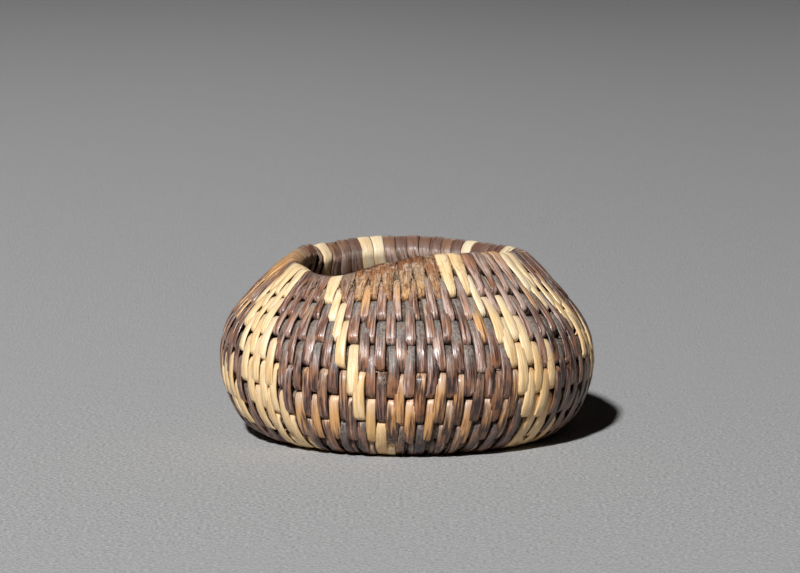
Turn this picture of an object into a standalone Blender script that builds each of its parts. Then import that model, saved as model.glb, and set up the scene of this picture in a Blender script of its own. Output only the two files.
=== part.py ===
"""A miniature coiled basket, in metres with +Z up and the middle of its base at the origin.

One round rod coils clockwise, seen from above, out from a start knot, up the wall and in to the rim.
Flat splints, dark and light, are sewn round it stitch by stitch. Each splint is a ribbed sleeve here,
one rib a stitch, and its bore holds the rod. The last stretch of coil is shaved down to a solid tip.
"""

import math

import bmesh
import bpy
import numpy as np

MM = 0.001

# Coil
COIL_TURNS = 13.564
RIM_END_ANGLE = math.radians(-221.0)
WALL_THICKNESS = 2.5 * MM
ROUND_GAP = 0.42 * MM
OUTER_SHOULDER = 0.8
INNER_SHOULDER = 0.58

# Profile of the middle of the wall, from the base outwards and up
FLAT_RADIUS = 13.7 * MM
FOOT_CURVE_RADIUS = 4.0 * MM
FOOT_CURVE_TURN = math.radians(51.2)
BELLY_CURVE_RADIUS = 8.4 * MM
BELLY_CURVE_TURN = math.radians(79.4)

# Rim out of true, as the sewing pulled it: by this many turns of coil the pull is full
FULL_WARP_TURNS = 14.3
RIM_SHIFT_LEFT = 0.7 * MM
RIM_SHIFT_BACK = 2.2 * MM
RIM_TILT = 0.57 * MM
RIM_TILT_ANGLE = math.radians(23.0)
RIM_WAVE = 0.68 * MM
RIM_WAVE_ANGLE = math.radians(-71.0)
WARP_POWER = 1.5

# Lip of the rim, pressed down and out at the front left and drawn in at the left
LIP_DENT = 1.15 * MM
LIP_PUSH = 1.0 * MM
LIP_DENT_ANGLE = math.radians(-121.0)
LIP_DENT_SPREAD = math.radians(24.0)
LIP_PULL = 0.8 * MM
LIP_PULL_ANGLE = math.radians(175.0)
LIP_PULL_SPREAD = math.radians(36.0)
LIP_POWER = 4.0

# Sewing
STITCH_PITCH = 1.82 * MM
STITCH_CREST = 0.3 * MM
STRAND_THICKNESS = 0.4 * MM
STRAND_END_GAP = 0.3 * MM

# Stripes: the turns of coil up to the lowest light splint of each, and from each one to the one
# above it, which make the stripe lean
BASE_SPLINTS = 4
RIGHT_STRIPE_FIRST_TURNS = 5.03
RIGHT_STRIPE_STEP_TURNS = 1.0105
RIGHT_STRIPE_STITCHES = 3
LEFT_STRIPE_FIRST_TURNS = 5.31
LEFT_STRIPE_STEP_TURNS = 1.003
LEFT_STRIPE_STITCHES = 4
SHORTEST_SPLINT_TURNS = 0.02

# Foundation rods
ROD_DIAMETER = 0.9 * MM
ROD_CLEARANCE = 0.17 * MM
ROD_COUNT = 5
BASE_ROD_TURNS = 5.7
ROD_END_GAP = 0.3 * MM

# Start knot
KNOT_RADIUS = 1.6 * MM
KNOT_CROWN = 0.35 * MM

# Shaved tip of the coil
TIP_TURNS = 0.2
TIP_HEIGHT_SHARE = 0.35
TIP_THICKNESS_SHARE = 0.6

# Faceting
STATIONS_PER_TURN = 24
KNOT_POINTS = 24
ROD_BEVEL_RESOLUTION = 1
LENGTH_SAMPLES = 4000

# Where each corner lies on its way round the section, for joining section and bore at a cap
SECTION_PLACES = (0, 1, 2, 3, 4, 5, 6)
BORE_PLACES = (0, 1.2, 2.5, 4.2, 6)

# Sizes that follow
HALF_WALL = WALL_THICKNESS / 2
HALF_BORE = ROD_DIAMETER / 2 + ROD_CLEARANCE
COIL_PITCH = 2 * (HALF_BORE + STRAND_THICKNESS) + ROUND_GAP
FOOT_END = FLAT_RADIUS + FOOT_CURVE_RADIUS * FOOT_CURVE_TURN
BELLY_END = FOOT_END + BELLY_CURVE_RADIUS * BELLY_CURVE_TURN
WALL_LEAN = FOOT_CURVE_TURN + BELLY_CURVE_TURN
RIM_REACH = KNOT_RADIUS + COIL_PITCH * FULL_WARP_TURNS

# Finishes: base colour and roughness
DARK_SPLINT = ((0.075, 0.045, 0.038, 1.0), 0.45)
LIGHT_SPLINT = ((0.72, 0.52, 0.28, 1.0), 0.5)
PEELED_ROD = ((0.62, 0.46, 0.27, 1.0), 0.6)


def profile(reach):
    """Radius, height and slope of the middle of the wall, reach metres along it from the centre."""
    foot = np.clip((reach - FLAT_RADIUS) / FOOT_CURVE_RADIUS, 0, FOOT_CURVE_TURN)
    belly = np.clip((reach - FOOT_END) / BELLY_CURVE_RADIUS, 0, BELLY_CURVE_TURN)
    straight = np.maximum(reach - BELLY_END, 0)
    slope = foot + belly
    radius = np.minimum(reach, FLAT_RADIUS) + FOOT_CURVE_RADIUS * np.sin(foot)
    radius = radius + BELLY_CURVE_RADIUS * (np.sin(slope) - np.sin(foot)) + straight * math.cos(WALL_LEAN)
    height = HALF_WALL + FOOT_CURVE_RADIUS * (1 - np.cos(foot))
    height = height + BELLY_CURVE_RADIUS * (np.cos(foot) - np.cos(slope)) + straight * math.sin(WALL_LEAN)
    return radius, height, slope


BELLY_REACH = FOOT_END + BELLY_CURVE_RADIUS * (math.pi / 2 - FOOT_CURVE_TURN)
BELLY_HEIGHT = float(profile(BELLY_REACH)[1])
RIM_HEIGHT = float(profile(RIM_REACH)[1])


def bell(angle, middle, spread):
    """1 at an angle round the basket, falling smoothly to 0 on both sides of it."""
    away = (angle - middle + math.pi) % (2 * math.pi) - math.pi
    return np.exp(-((away / spread) ** 2))


def wall_point(reach, angle, out):
    """Point at a reach along the wall, an angle round it, and a distance out from its middle."""
    radius, height, slope = profile(reach)
    radius = radius + out * np.sin(slope)
    height = height - out * np.cos(slope)
    share = np.clip((height - BELLY_HEIGHT) / (RIM_HEIGHT - BELLY_HEIGHT), 0, None)
    rise = share ** WARP_POWER
    dented = share ** LIP_POWER * bell(angle, LIP_DENT_ANGLE, LIP_DENT_SPREAD)
    pulled = share ** LIP_POWER * bell(angle, LIP_PULL_ANGLE, LIP_PULL_SPREAD)
    radius = radius + LIP_PUSH * dented - LIP_PULL * pulled
    tilt = RIM_TILT * np.cos(angle - RIM_TILT_ANGLE)
    wave = RIM_WAVE * np.cos(2 * (angle - RIM_WAVE_ANGLE))
    x = radius * np.cos(angle) - rise * RIM_SHIFT_LEFT
    y = radius * np.sin(angle) + rise * RIM_SHIFT_BACK
    return np.stack([x, y, height + rise * (tilt + wave) - LIP_DENT * dented], axis=-1)


def coil_angle(turn):
    """Angle round the basket after this many turns; it falls as the coil climbs."""
    return RIM_END_ANGLE + 2 * math.pi * (COIL_TURNS - turn)


def coil_reach(turn):
    """Reach of the middle of the coil after this many turns."""
    return KNOT_RADIUS + COIL_PITCH * (turn + 0.5)


def stretch(turn):
    """How much the warped wall lengthens one pitch of its profile here."""
    angle = coil_angle(turn)
    reach = coil_reach(turn)
    low = wall_point(reach - COIL_PITCH / 2, angle, 0.0)
    high = wall_point(reach + COIL_PITCH / 2, angle, 0.0)
    return np.linalg.norm(high - low, axis=-1) / COIL_PITCH


def coil_samples():
    """Turns at even steps, with the coil's length and its count of stitches up to each."""
    turns = np.linspace(0, COIL_TURNS, LENGTH_SAMPLES)
    centres = wall_point(coil_reach(turns), coil_angle(turns), 0.0)
    steps = np.linalg.norm(np.diff(centres, axis=0), axis=1)
    length = np.concatenate([[0], np.cumsum(steps)])
    # A round never has fewer stitches than the one it is sewn to
    widest = np.maximum.accumulate(profile(coil_reach(turns))[0])
    per_turn = 2 * math.pi * widest / STITCH_PITCH
    stitches = np.concatenate([[0], np.cumsum((per_turn[1:] + per_turn[:-1]) / 2 * np.diff(turns))])
    return turns, length, stitches


TURNS, LENGTHS, STITCHES = coil_samples()


def turn_at_stitch(stitch):
    return float(np.interp(stitch, STITCHES, TURNS))


def stitches_at(turn):
    return float(np.interp(turn, TURNS, STITCHES))


def turns_in(length, turn):
    """Share of a turn that a short length of coil takes here."""
    return length / (2 * math.pi * float(profile(coil_reach(turn))[0]))


def stations(start, stop):
    """Turns from start to stop at the steps that rods and bores share, so that they bend together."""
    first = math.floor(start * STATIONS_PER_TURN) + 1
    last = math.ceil(stop * STATIONS_PER_TURN) - 1
    between = np.arange(first, last + 1) / STATIONS_PER_TURN
    return np.concatenate([[start], between, [stop]])


def tip_share(turn):
    """0 along the coil and up to 1 at the very end of its tip."""
    return max(0.0, (turn - (COIL_TURNS - TIP_TURNS)) / TIP_TURNS)


def corner(turn, along, out):
    """Point of the coil's section: along is a share of its half height, out of its half thickness."""
    share = tip_share(turn)
    full = COIL_PITCH / 2 - ROUND_GAP / 2 / float(stretch(turn))
    half = full * (1 - share * (1 - TIP_HEIGHT_SHARE))
    thick = HALF_WALL * (1 - share * (1 - TIP_THICKNESS_SHARE))
    # The tip keeps its seat on the round below as it thins
    reach = coil_reach(turn) - (full - half) + along * half
    return wall_point(reach, coil_angle(turn), out * thick)


def bore_corner(turn, along, out):
    """Point of the square bore, along and out being -1 or 1."""
    reach = coil_reach(turn) + along * HALF_BORE / float(stretch(turn))
    return wall_point(reach, coil_angle(turn), out * HALF_BORE)


def finish(name, colour, roughness):
    """Material of one plain finish."""
    material = bpy.data.materials.new(name)
    material.use_nodes = True
    shader = material.node_tree.nodes["Principled BSDF"]
    shader.inputs["Base Color"].default_value = colour
    shader.inputs["Roughness"].default_value = roughness
    shader.inputs["Metallic"].default_value = 0.0
    return material


def place(name, mesh, look):
    """Puts a mesh or a curve into the scene, with its own material."""
    mesh.materials.append(finish(name + "_finish", *look))
    piece = bpy.data.objects.new(name, mesh)
    bpy.context.scene.collection.objects.link(piece)


def zip_strip(shape, low, high):
    """Triangles between two lines of (place, vertex), which may have unlike counts."""
    i = 0
    j = 0
    while i < len(low) - 1 or j < len(high) - 1:
        last_low = i == len(low) - 1
        last_high = j == len(high) - 1
        if last_high or (not last_low and low[i + 1][0] <= high[j + 1][0]):
            shape.faces.new((low[i][1], low[i + 1][1], high[j][1]))
            i += 1
        else:
            shape.faces.new((low[i][1], high[j + 1][1], high[j][1]))
            j += 1


def cap_ends(shape, lines, bore):
    """Closes both ends of a sleeve, between its section and its bore if it has one."""
    for end in (0, -1):
        section = [line[end][1] for line in lines]
        if not bore:
            shape.faces.new(section)
            continue
        hole = [line[end][1] for line in bore]
        outer = list(zip(SECTION_PLACES, section + section[:1]))
        inner = list(zip(BORE_PLACES, hole + hole[:1]))
        zip_strip(shape, outer, inner)


def sew_strand(name, start, stop, look, hollow):
    """Splint sewn from one turn of the coil to another, as a closed sleeve with a rib for each stitch.

    Two lines of its section follow the ribs and the other lines follow the coil's stations.
    """
    first = stitches_at(start)
    last = stitches_at(stop)
    ribs = max(1, round(last - first))
    start += turns_in(STRAND_END_GAP / 2, start)
    stop -= turns_in(STRAND_END_GAP / 2, stop)

    shape = bmesh.new()

    def ribbed(along):
        line = []
        for half in range(2 * ribs + 1):
            turn = turn_at_stitch(first + (last - first) * half / 2 / ribs)
            turn = min(max(turn, start), stop)
            crest = 1.0 if half % 2 else 1.0 - STITCH_CREST / HALF_WALL
            line.append((turn, shape.verts.new(corner(turn, along, crest))))
        return line

    def plain(place_corner, along, out):
        return [(turn, shape.verts.new(place_corner(turn, along, out))) for turn in stations(start, stop)]

    lines = [ribbed(-OUTER_SHOULDER), ribbed(OUTER_SHOULDER), plain(corner, 1.0, 0.0)]
    lines += [plain(corner, INNER_SHOULDER, -1.0), plain(corner, -INNER_SHOULDER, -1.0)]
    lines += [plain(corner, -1.0, 0.0)]
    bore = []
    if hollow:
        bore = [plain(bore_corner, *sides) for sides in ((-1, 1), (1, 1), (1, -1), (-1, -1))]
    for around in (lines, bore):
        for low, high in zip(around, around[1:] + around[:1]):
            zip_strip(shape, low, high)
    cap_ends(shape, lines, bore)
    bmesh.ops.triangulate(shape, faces=shape.faces[:])
    bmesh.ops.recalc_face_normals(shape, faces=shape.faces[:])
    mesh = bpy.data.meshes.new(name)
    shape.to_mesh(mesh)
    shape.free()
    mesh.shade_smooth()
    place(name, mesh, look)


def splint_starts(end):
    """Turns at which a splint is taken up before the coil's end, each with True if it is light."""
    starts = [(RIGHT_STRIPE_FIRST_TURNS * share / BASE_SPLINTS, False) for share in range(BASE_SPLINTS)]
    stripes = (
        (RIGHT_STRIPE_FIRST_TURNS, RIGHT_STRIPE_STEP_TURNS, RIGHT_STRIPE_STITCHES),
        (LEFT_STRIPE_FIRST_TURNS, LEFT_STRIPE_STEP_TURNS, LEFT_STRIPE_STITCHES),
    )
    for number in range(math.ceil(end)):
        for lowest, step, stitches in stripes:
            light = lowest + number * step
            dark = turn_at_stitch(stitches_at(light) + stitches)
            starts += [(light, True), (dark, False)]
    return [start for start in starts if start[0] < end - SHORTEST_SPLINT_TURNS]


def sew_coil(end):
    """Splints from the knot to this turn of the coil, and the tip that follows."""
    starts = splint_starts(end)
    stops = [turn for turn, light in starts[1:]] + [end]
    dark_count = 0
    light_count = 0
    for (start, light), stop in zip(starts, stops):
        if light:
            light_count += 1
            sew_strand(f"light_splint_{light_count:02d}", start, stop, LIGHT_SPLINT, hollow=True)
        else:
            dark_count += 1
            sew_strand(f"dark_splint_{dark_count:02d}", start, stop, DARK_SPLINT, hollow=True)
    sew_strand("coil_tip_binding", end, COIL_TURNS, DARK_SPLINT, hollow=False)


def least_coil_gap(centres, radius):
    """Least gap between rods a turn or more apart, measured on the points of their middles."""
    per_turn = STATIONS_PER_TURN
    least = math.inf
    for i, point in enumerate(centres[: -per_turn // 2]):
        others = centres[i + per_turn // 2:]
        least = min(least, float(np.linalg.norm(others - point, axis=1).min()))
    return least - 2 * radius


def lay_rods(last_turn):
    """The foundation, as rods laid end to end along the coil: one in the base and equal shares of the wall."""
    ends = [0.0] + list(np.linspace(BASE_ROD_TURNS, last_turn, ROD_COUNT))
    centres = []
    for number, (start, stop) in enumerate(zip(ends, ends[1:]), 1):
        start += turns_in(ROD_END_GAP / 2, start)
        stop -= turns_in(ROD_END_GAP / 2, stop)
        turns = stations(start, stop)
        points = wall_point(coil_reach(turns), coil_angle(turns), 0.0)
        centres.append(points)
        curve = bpy.data.curves.new(f"foundation_rod_{number}", "CURVE")
        curve.dimensions = "3D"
        curve.bevel_depth = ROD_DIAMETER / 2
        curve.bevel_resolution = ROD_BEVEL_RESOLUTION
        curve.use_fill_caps = True
        spline = curve.splines.new("POLY")
        spline.points.add(len(points) - 1)
        for slot, point in zip(spline.points, points):
            slot.co = (*point, 1.0)
        place(curve.name, curve, PEELED_ROD)
    gap = least_coil_gap(np.concatenate(centres), ROD_DIAMETER / 2)
    print(f"foundation: {LENGTHS[-1] / MM:.0f} mm of coil, least gap to itself {gap / MM:.2f} mm")


def make_knot():
    """Start knot: a flat snail that the first turn of coil winds round, with a crowned top."""
    turns = np.linspace(0, 1 - turns_in(STRAND_END_GAP / 2, 0.0), KNOT_POINTS)
    reach = KNOT_RADIUS + COIL_PITCH * turns - ROUND_GAP / 2
    angle = coil_angle(turns)
    shape = bmesh.new()
    rim = [shape.verts.new((r * math.cos(a), r * math.sin(a), 0.0)) for r, a in zip(reach, angle)]
    base = shape.faces.new(rim)
    base.normal_update()
    lifted = bmesh.ops.extrude_face_region(shape, geom=[base])
    top = [item for item in lifted["geom"] if isinstance(item, bmesh.types.BMFace)]
    bmesh.ops.translate(shape, vec=(0, 0, WALL_THICKNESS - KNOT_CROWN), verts=top[0].verts[:])
    bmesh.ops.inset_region(shape, faces=top, thickness=KNOT_CROWN, depth=0.0)
    bmesh.ops.translate(shape, vec=(0, 0, KNOT_CROWN), verts=top[0].verts[:])
    bmesh.ops.recalc_face_normals(shape, faces=shape.faces[:])
    mesh = bpy.data.meshes.new("start_knot")
    shape.to_mesh(mesh)
    shape.free()
    place("start_knot", mesh, DARK_SPLINT)


def main():
    for item in list(bpy.data.objects):
        bpy.data.objects.remove(item, do_unlink=True)
    tip_start = COIL_TURNS - TIP_TURNS
    make_knot()
    sew_coil(tip_start)
    lay_rods(tip_start)


main()
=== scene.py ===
"""Looks of the miniature coiled basket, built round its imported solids.

The solids stay as the frame. Here every stitch is its own flat splint, bent round the rod of its own
round and the rod of the round below, so neighbouring rounds lock and their stitches stand in turn.
"""

import logging
import math
from dataclasses import dataclass, field
from enum import Enum
from functools import reduce

import bpy
import numpy as np
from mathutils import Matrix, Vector


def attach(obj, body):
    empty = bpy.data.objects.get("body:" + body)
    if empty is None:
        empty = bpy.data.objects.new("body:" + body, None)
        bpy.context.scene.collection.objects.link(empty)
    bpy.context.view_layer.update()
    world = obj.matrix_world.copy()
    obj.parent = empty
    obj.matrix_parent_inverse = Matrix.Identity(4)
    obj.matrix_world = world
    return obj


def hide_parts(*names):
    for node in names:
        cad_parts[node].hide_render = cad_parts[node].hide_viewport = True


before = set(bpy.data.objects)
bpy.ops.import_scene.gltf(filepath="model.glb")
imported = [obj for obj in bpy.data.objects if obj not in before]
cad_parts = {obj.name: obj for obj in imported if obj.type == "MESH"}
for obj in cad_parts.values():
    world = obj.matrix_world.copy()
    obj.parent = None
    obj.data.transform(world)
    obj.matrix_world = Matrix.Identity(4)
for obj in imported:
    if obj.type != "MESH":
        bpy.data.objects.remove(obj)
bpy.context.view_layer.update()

MM = 0.001
SEED = 7
FULL_TURN = 2 * math.pi
FRONT = math.radians(-90.0)

Colour = tuple[float, float, float]
Span = tuple[float, float]

LOG = logging.getLogger("basket")


class Slot(Enum):
    """Material slots."""

    DARK = "dark_splint"
    LIGHT = "light_splint"
    ROD = "peeled_rod"


def short_way(angle: np.ndarray, place: float) -> np.ndarray:
    """Angle from a place, by the short way round, in radians."""
    return (angle - place + math.pi) % FULL_TURN - math.pi


def ramp(value: np.ndarray, start: float, length: float) -> np.ndarray:
    """Straight rise from 0 at the start to 1; a length below zero makes it rise towards lower values."""
    return np.clip((value - start) / length, 0, 1)


# Shape of the wall and of the coil


@dataclass(frozen=True)
class Wall:
    """Middle surface of the wall, the same one that the solids follow.

    Its profile is a flat base, a foot curve, a belly curve and a straight shoulder. Above the belly
    the wall is drawn out of true, the more the higher it is.
    """

    flat_radius: float = 13.7 * MM
    foot_radius: float = 4.0 * MM
    foot_turn: float = math.radians(51.2)
    belly_radius: float = 8.4 * MM
    belly_turn: float = math.radians(79.4)
    half_thickness: float = 1.25 * MM
    shift_left: float = 0.7 * MM
    shift_back: float = 2.2 * MM
    tilt: float = 0.57 * MM
    tilt_angle: float = math.radians(23.0)
    wave: float = 0.68 * MM
    wave_angle: float = math.radians(-71.0)
    warp_power: float = 1.5
    rim_reach: float = 36.778 * MM
    dent: float = 1.15 * MM
    push: float = 1.0 * MM
    dent_angle: float = math.radians(-121.0)
    dent_spread: float = math.radians(24.0)
    pull: float = 0.8 * MM
    pull_angle: float = math.radians(175.0)
    pull_spread: float = math.radians(36.0)
    lip_power: float = 4.0

    def profile(self, reach: np.ndarray) -> tuple[np.ndarray, np.ndarray, np.ndarray]:
        """Radius, height and slope of the wall.

        Args:
            reach: distance along the profile from the middle of the base, in metres.

        Returns:
            Radius and height in metres, and slope in radians.
        """
        foot_end = self.flat_radius + self.foot_radius * self.foot_turn
        belly_end = foot_end + self.belly_radius * self.belly_turn
        lean = self.foot_turn + self.belly_turn
        foot = np.clip((reach - self.flat_radius) / self.foot_radius, 0, self.foot_turn)
        belly = np.clip((reach - foot_end) / self.belly_radius, 0, self.belly_turn)
        straight = np.maximum(reach - belly_end, 0)
        slope = foot + belly
        radius = np.minimum(reach, self.flat_radius) + self.foot_radius * np.sin(foot)
        radius = radius + self.belly_radius * (np.sin(slope) - np.sin(foot))
        radius = radius + straight * math.cos(lean)
        height = self.half_thickness + self.foot_radius * (1 - np.cos(foot))
        height = height + self.belly_radius * (np.cos(foot) - np.cos(slope))
        return radius, height + straight * math.sin(lean), slope

    def point(self, reach: np.ndarray, angle: np.ndarray, out: np.ndarray) -> np.ndarray:
        """Points on or beside the wall.

        Args:
            reach: distance along the profile, in metres.
            angle: angle round the basket, in radians.
            out: distance out from the middle of the wall, in metres.

        Returns:
            Array of points, with x, y and z on the last axis.
        """
        belly_reach = (
            self.flat_radius
            + self.foot_radius * self.foot_turn
            + self.belly_radius * (math.pi / 2 - self.foot_turn)
        )
        belly_height = self.profile(np.float64(belly_reach))[1]
        rim_height = self.profile(np.float64(self.rim_reach))[1]
        radius, height, slope = self.profile(reach)
        radius = radius + out * np.sin(slope)
        height = height - out * np.cos(slope)
        share = np.clip((height - belly_height) / (rim_height - belly_height), 0, None)
        rise = share**self.warp_power
        dented = share**self.lip_power * self.bump(angle, self.dent_angle, self.dent_spread)
        pulled = share**self.lip_power * self.bump(angle, self.pull_angle, self.pull_spread)
        radius = radius + self.push * dented - self.pull * pulled
        tilt = self.tilt * np.cos(angle - self.tilt_angle)
        wave = self.wave * np.cos(2 * (angle - self.wave_angle))
        x = radius * np.cos(angle) - rise * self.shift_left
        y = radius * np.sin(angle) + rise * self.shift_back
        return np.stack([x, y, height + rise * (tilt + wave) - self.dent * dented], axis=-1)

    def bump(self, angle: np.ndarray, middle: float, spread: float) -> np.ndarray:
        """Bell from 0 to 1 round one side of the basket."""
        return np.exp(-((short_way(angle, middle) / spread) ** 2))


@dataclass(frozen=True)
class Coil:
    """Path of the coil, and how many stitches hold each of its turns.

    Stitches per turn are kept at points of the coil and run straight between them. Above the belly
    each round has half a stitch more than a whole number, so its stitches fall between those below.
    """

    pitch: float = 2.46 * MM
    knot_radius: float = 1.6 * MM
    turns: float = 13.564
    end_angle: float = math.radians(-221.0)
    tip_turns: float = 0.2
    tip_height: float = 0.35
    tip_thickness: float = 0.6
    rim_turn: float = 12.564
    change_turn: float = 0.7
    change_half: float = 0.1
    round_counts: tuple[float, ...] = (
        8.5, 16.5, 24.5, 32.5, 40.5, 48.5, 56.5, 60.5, 60.5, 60.5, 60.5, 60.5, 60.5, 60.5
    )
    phase: float = 0.92
    samples: int = 6000

    def angle(self, turn: np.ndarray) -> np.ndarray:
        """Angle round the basket at a turn, in radians, which falls as the coil climbs."""
        return self.end_angle + FULL_TURN * (self.turns - turn)

    def reach(self, turn: np.ndarray) -> np.ndarray:
        """Reach of the middle of the rod along the wall's profile, in metres."""
        return self.knot_radius + self.pitch * (turn + 0.5)

    def tip_sizes(self, turn: np.ndarray) -> tuple[np.ndarray, np.ndarray]:
        """How the coil thins into its shaved tip.

        Args:
            turn: turns along the coil.

        Returns:
            Shares of its height and of its thickness that are left there.
        """
        share = ramp(turn, self.turns - self.tip_turns, self.tip_turns)
        return 1 - share * (1 - self.tip_height), 1 - share * (1 - self.tip_thickness)

    def tables(self) -> tuple[np.ndarray, np.ndarray]:
        """Even steps of turns with the count of stitches up to each.

        Returns:
            Turns and stitch counts, both rising.
        """
        turns = np.linspace(0, self.turns, self.samples)
        changes = np.arange(len(self.round_counts) - 1) + self.change_turn
        knots = np.stack([changes - self.change_half, changes + self.change_half], axis=1).reshape(-1)
        rate = np.interp(turns, knots, np.repeat(self.round_counts, 2)[1:-1])
        steps = (rate[1:] + rate[:-1]) / 2 * np.diff(turns)
        return turns, np.concatenate([[0], np.cumsum(steps)])


# Stripes and stitches


@dataclass(frozen=True)
class Stripe:
    """A run of light stitches up the wall, by turn of the coil.

    Angles are degrees from the front, positive to the right, and widths are in stitches.
    """

    turns: tuple[float, ...]
    centres: tuple[float, ...]
    widths: tuple[float, ...]

    def covers(self, turn: np.ndarray, angle: np.ndarray, spacing: np.ndarray) -> np.ndarray:
        """Which stitches lie in the stripe.

        Args:
            turn: turn of each stitch.
            angle: its angle round the basket, in radians.
            spacing: angle from one stitch to the next, in radians.

        Returns:
            True for each stitch in the stripe.
        """
        centre = FRONT + np.radians(np.interp(turn, self.turns, self.centres))
        width = np.interp(turn, self.turns, self.widths) * spacing
        inside = (turn >= self.turns[0]) & (turn <= self.turns[-1])
        return inside & (np.abs(short_way(angle, centre)) < width / 2)


STRIPES = (
    # Left of the front
    Stripe(
        (4.9, 5.4, 6.3, 7.3, 8.3, 9.3, 10.3, 11.3, 12.3, 13.6),
        (-42.0, -42.0, -43.0, -45.0, -47.0, -51.5, -55.0, -58.0, -59.5, -60.0),
        (2.0, 2.0, 2.2, 3.3, 2.6, 2.4, 2.6, 2.6, 3.0, 3.0),
    ),
    # Narrow one in the middle
    Stripe(
        (4.9, 5.2, 6.2, 7.2, 8.2, 9.2, 10.2, 11.2, 12.2, 12.7, 12.8, 13.4),
        (-4.0, -5.0, -7.8, -10.5, -13.0, -15.8, -18.8, -21.8, -24.8, -27.5, -27.5, -27.5),
        (1.0, 1.0, 1.0, 1.0, 1.0, 1.0, 1.0, 1.0, 1.0, 1.0, 1.7, 1.7),
    ),
    # Right of the front
    Stripe(
        (4.9, 6.1, 7.1, 8.1, 9.1, 10.1, 11.1, 12.1, 13.2),
        (50.0, 49.5, 47.0, 44.5, 42.0, 38.0, 32.5, 28.2, 23.0),
        (2.2, 2.1, 2.2, 2.4, 2.7, 2.6, 1.9, 1.5, 2.0),
    ),
    # Far right
    Stripe(
        (8.8, 9.1, 10.1, 11.1, 12.1, 13.6),
        (82.0, 80.5, 75.5, 70.5, 64.5, 57.0),
        (2.0, 2.2, 2.2, 2.4, 2.4, 2.2),
    ),
    # Short ones at the far left
    Stripe((7.9, 8.9), (-73.0, -73.0), (3.6, 3.6)),
    Stripe((6.9, 7.89), (-68.5, -68.5), (2.2, 2.2)),
    # Back
    Stripe((4.9, 12.0, 13.6), (142.0, 112.0, 110.5), (2.0, 2.6, 2.9)),
    Stripe((4.9, 12.0, 13.6), (-150.0, -166.5, -166.5), (2.0, 2.0, 2.0)),
    Stripe((4.9, 12.0, 13.6), (170.0, 146.0, 145.5), (1.7, 1.5, 1.5)),
    Stripe((4.9, 12.0, 13.6), (-112.0, -137.0, -137.0), (2.0, 1.6, 1.6)),
)


@dataclass(frozen=True)
class Patch:
    """Soft patch on the wall: its middle, its size in turns and degrees, and what it adds there."""

    turn: float
    degrees: float
    high: float
    wide: float
    amount: float


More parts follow.
